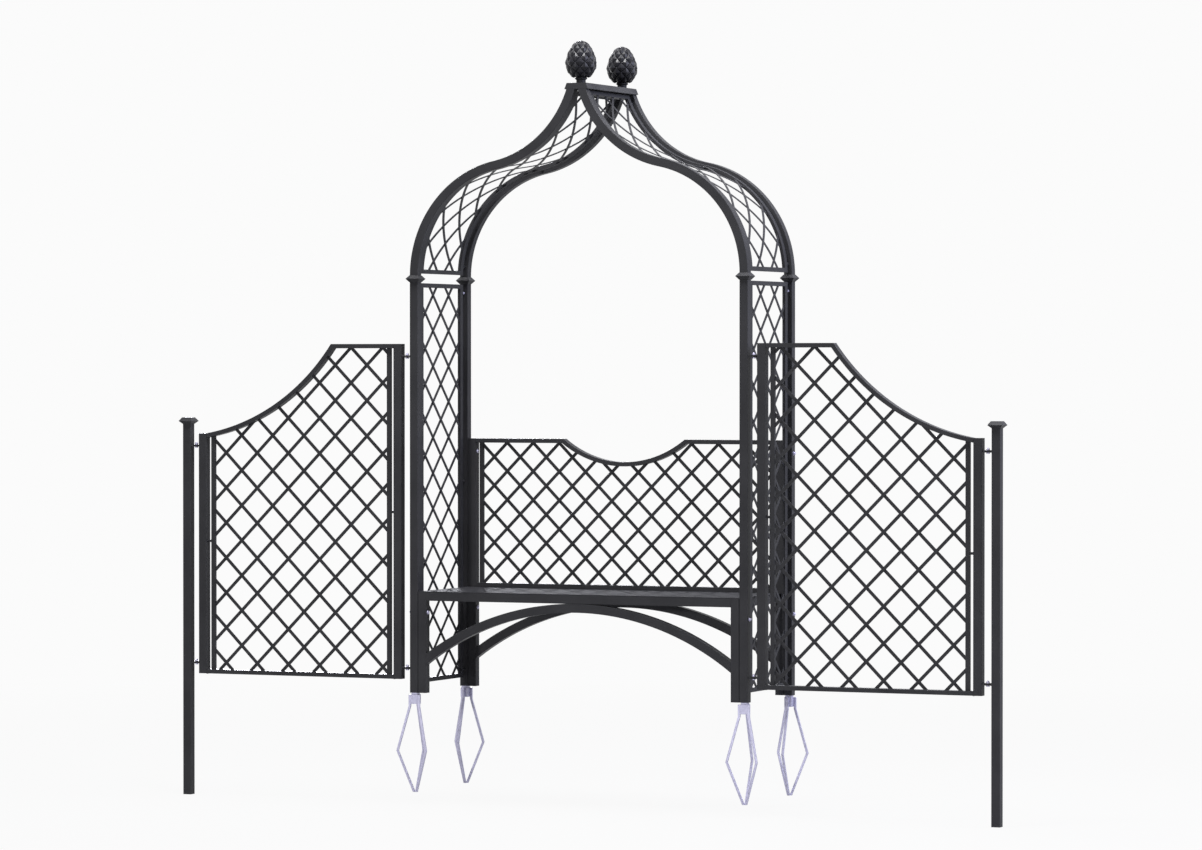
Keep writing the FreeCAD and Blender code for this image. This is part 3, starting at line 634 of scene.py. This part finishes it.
def finial_cone(node, centre, bottom, top):
    """Egg with its rows of scales and a button on its tip."""
    cone = Shells()
    line = egg_line(bottom)
    core = [(max(radius - CORE_DROP, EGG_TIP), height, circle)
            for _, radius, height, _ in line[::CORE_STRIDE]]
    cone.tube(turned(centre, UP, core))
    for row in range(SCALE_ROWS):
        for step in range(SCALE_COUNT):
            angle = 2 * math.pi * (step + (row - FRONT_ROW) / 2) / SCALE_COUNT - math.pi / 2
            rings = finial_scale(line, FIRST_ROW + row * ROW_STEP, angle)
            cone.tube([[centre + place for place in ring] for ring in rings])
    cone.tube(turned(centre, UP, dome(BUTTON_RADIUS, top - BUTTON_RISE, BUTTON_RISE), BUTTON_STEPS))
    build(node + "_cone", cone, "arch", "coated_casting", (node,), angle=SCALE_ANGLE)


def finial(node):
    """Neck and cone that stand in for a finial."""
    low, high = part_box(node)
    centre = Vector(((low.x + high.x) / 2, (low.y + high.y) / 2, 0))
    bottom = low.z + NECK_HEIGHT + DISC_HEIGHT + WAIST_HEIGHT
    finial_neck(node, centre, low.z, bottom)
    finial_cone(node, centre, bottom, high.z)


finial("finial_front")
finial("finial_rear")

# Weld beads where rails, braces and lugs meet what carries them
BEAD = 2.2 * MM
BEAD_INSET = 3 * MM
BEAD_STEPS = 8
BEAD_LEAST_RINGS = 6
BEAD_END = 0.02
RIPPLE = 3.0 * MM
RIPPLE_RINGS = 4
RIPPLE_DEPTH = 0.07
RAIL_END = 0.1 * MM


def bead(shells, start, end):
    """Straight run of weld with a rippled surface and rounded ends."""
    run = end - start
    count = max(BEAD_LEAST_RINGS, round(run.length / RIPPLE * RIPPLE_RINGS))
    levels = []
    for step in range(count + 1):
        share = step / count
        close = min(share, 1 - share) * run.length
        shrink = math.sqrt(max(BEAD_END, 1 - (1 - min(close / BEAD, 1)) ** 2))
        ripple = 1 + RIPPLE_DEPTH * math.cos(2 * math.pi * share * run.length / RIPPLE)
        levels.append((BEAD * shrink * ripple, run.length * share, circle))
    shells.tube(turned(start, run.normalized(), levels, BEAD_STEPS))


def bead_along_y(shells, x, z, y):
    """Bead from front to back, a little short of both ends."""
    bead(shells, Vector((x, y[0] + BEAD_INSET, z)), Vector((x, y[1] - BEAD_INSET, z)))


def rail_beads(shells, node, *edges):
    """Beads at both ends of a rail, at the edges named: min for its underside and max for its top."""
    low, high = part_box(node)
    for x in (low.x, high.x):
        heights = [corner.co.z for corner in nodes[node].data.vertices if abs(corner.co.x - x) < RAIL_END]
        for edge in edges:
            bead_along_y(shells, x, edge(heights), (low.y, high.y))


def lug_beads(shells, node, at_high):
    """Beads over and under each lug, on the face of the upright that it is welded to."""
    for low, high in islands(node):
        x = high.x if at_high(low, high) else low.x
        for z in (low.z, high.z):
            bead_along_y(shells, x, z, (low.y, high.y))


def wing_welds(side):
    """Beads at the rails and lugs of a wing."""
    welds = Shells()
    rail_beads(welds, side + "_wing_bottom_rail", min, max)
    rail_beads(welds, side + "_wing_top_rail", min)
    wing_low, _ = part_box(side + "_wing_top_rail")
    lug_beads(welds, side + "_wing_lugs", lambda low, high: high.x < wing_low.x)
    build(side + "_wing_welds", welds, side + "_wing", "coated_tube")


def end_post_welds(side):
    """Beads at the lugs of an end post."""
    welds = Shells()
    lug_beads(welds, side + "_end_post_lugs", lambda low, high: low.x > 0)
    build(side + "_end_post_welds", welds, side + "_end", "coated_tube")


def arch_welds():
    """Beads at the rails and braces of the bench and at the lugs of the arch."""
    welds = Shells()
    rail_beads(welds, "seat_front_rail", min)
    rail_beads(welds, "back_bottom_rail", max)
    rail_beads(welds, "back_top_rail", min)
    for node in ("front_brace", "rear_brace"):
        rail_beads(welds, node, min, max)
    lug_beads(welds, "arch_lugs", lambda low, high: low.x < 0)
    build("arch_welds", welds, "arch", "coated_tube")


for side in SIDES:
    wing_welds(side)
    end_post_welds(side)
arch_welds()


def seen_directly(net):
    """One where a ray comes straight from the camera, or by way of gloss or glass."""
    path = net.add("LightPath")
    first = net.add("Math", operation="MAXIMUM")
    net.join(path, "Is Camera Ray", first, 0)
    net.join(path, "Is Glossy Ray", first, 1)
    second = net.add("Math", operation="MAXIMUM")
    net.join(first, "Value", second, 0)
    net.join(path, "Is Transmission Ray", second, 1)
    return second


def floor_material():
    """Pale paper that shows as the backdrop does, apart from a faint shadow."""
    net = Net(bpy.data.materials.new("floor_paper"))
    plain = net.add("BsdfDiffuse")
    place = net.add("TexCoord")
    tone = net.ramp(net.noise(place, *FLOOR_GRAIN), "Fac", FLOOR_DARK, FLOOR_LIGHT)
    net.join(tone, "Color", plain, "Color")
    glow = net.add("Emission", Color=(*PAPER, 1), Strength=1.0)
    distance = net.add("VectorMath", operation="LENGTH")
    net.join(place, "Object", distance, 0)
    fade = net.map_range(distance, "Value", FLOOR_NEAR, FLOOR_FAR, FLOOR_NEAR_SHARE, FLOOR_FAR_SHARE)
    share = net.add("Math", operation="MULTIPLY")
    net.join(seen_directly(net), "Value", share, 0)
    net.join(fade, "Result", share, 1)
    mix = net.add("MixShader")
    net.join(share, "Value", mix, 0)
    net.join(plain, "BSDF", mix, 1)
    net.join(glow, "Emission", mix, 2)
    net.show(mix, "Shader", "OutputMaterial")
    return net.owner


def place_floor():
    """Wide floor just under the lowest point of the part."""
    z = cad_low.z - FLOOR_GAP
    corners = [(x * FLOOR_REACH, y * FLOOR_REACH, z) for x, y in ((-1, -1), (1, -1), (1, 1), (-1, 1))]
    mesh = bpy.data.meshes.new("floor")
    mesh.from_pydata(corners, [], [(0, 1, 2, 3)])
    mesh.materials.append(floor_material())
    floor = bpy.data.objects.new("floor", mesh)
    scene.collection.objects.link(floor)


def paper_world():
    """Backdrop that the camera sees as paper, and that lights the part faintly."""
    net = Net(bpy.data.worlds.new("paper_room"))
    around = net.add("Background", Color=(*PAPER, 1), Strength=AMBIENT)
    behind = net.add("Background", Color=(*PAPER, 1), Strength=1.0)
    mix = net.add("MixShader")
    net.join(seen_directly(net), "Value", mix, 0)
    net.join(around, "Background", mix, 1)
    net.join(behind, "Background", mix, 2)
    net.show(mix, "Shader", "OutputWorld")
    return net.owner


def lamp(name, kind, place, travel, energy, settings):
    """Lamp that shines along its direction of travel and isn't seen itself."""
    data = bpy.data.lights.new(name, kind)
    data.energy = energy
    for key, value in settings.items():
        setattr(data, key, value)
    made = bpy.data.objects.new(name, data)
    made.location = place
    made.rotation_mode = "QUATERNION"
    made.rotation_quaternion = Vector(travel).to_track_quat("-Z", "Y")
    made.visible_camera = False
    scene.collection.objects.link(made)


def place_camera():
    """Camera that was fitted to the photograph."""
    data = bpy.data.cameras.new("camera")
    data.lens = LENS
    data.sensor_width = SENSOR_WIDTH
    data.sensor_fit = "HORIZONTAL"
    data.clip_end = CLIP_END
    camera = bpy.data.objects.new("camera", data)
    camera.location = CAMERA_PLACE
    camera.rotation_euler = (CAMERA_TILT, 0, CAMERA_TURN)
    scene.collection.objects.link(camera)
    scene.camera = camera


place_floor()
scene.world = paper_world()
for name, setup in LAMPS.items():
    lamp(name, *setup)
place_camera()
scene.view_settings.view_transform = "Standard"
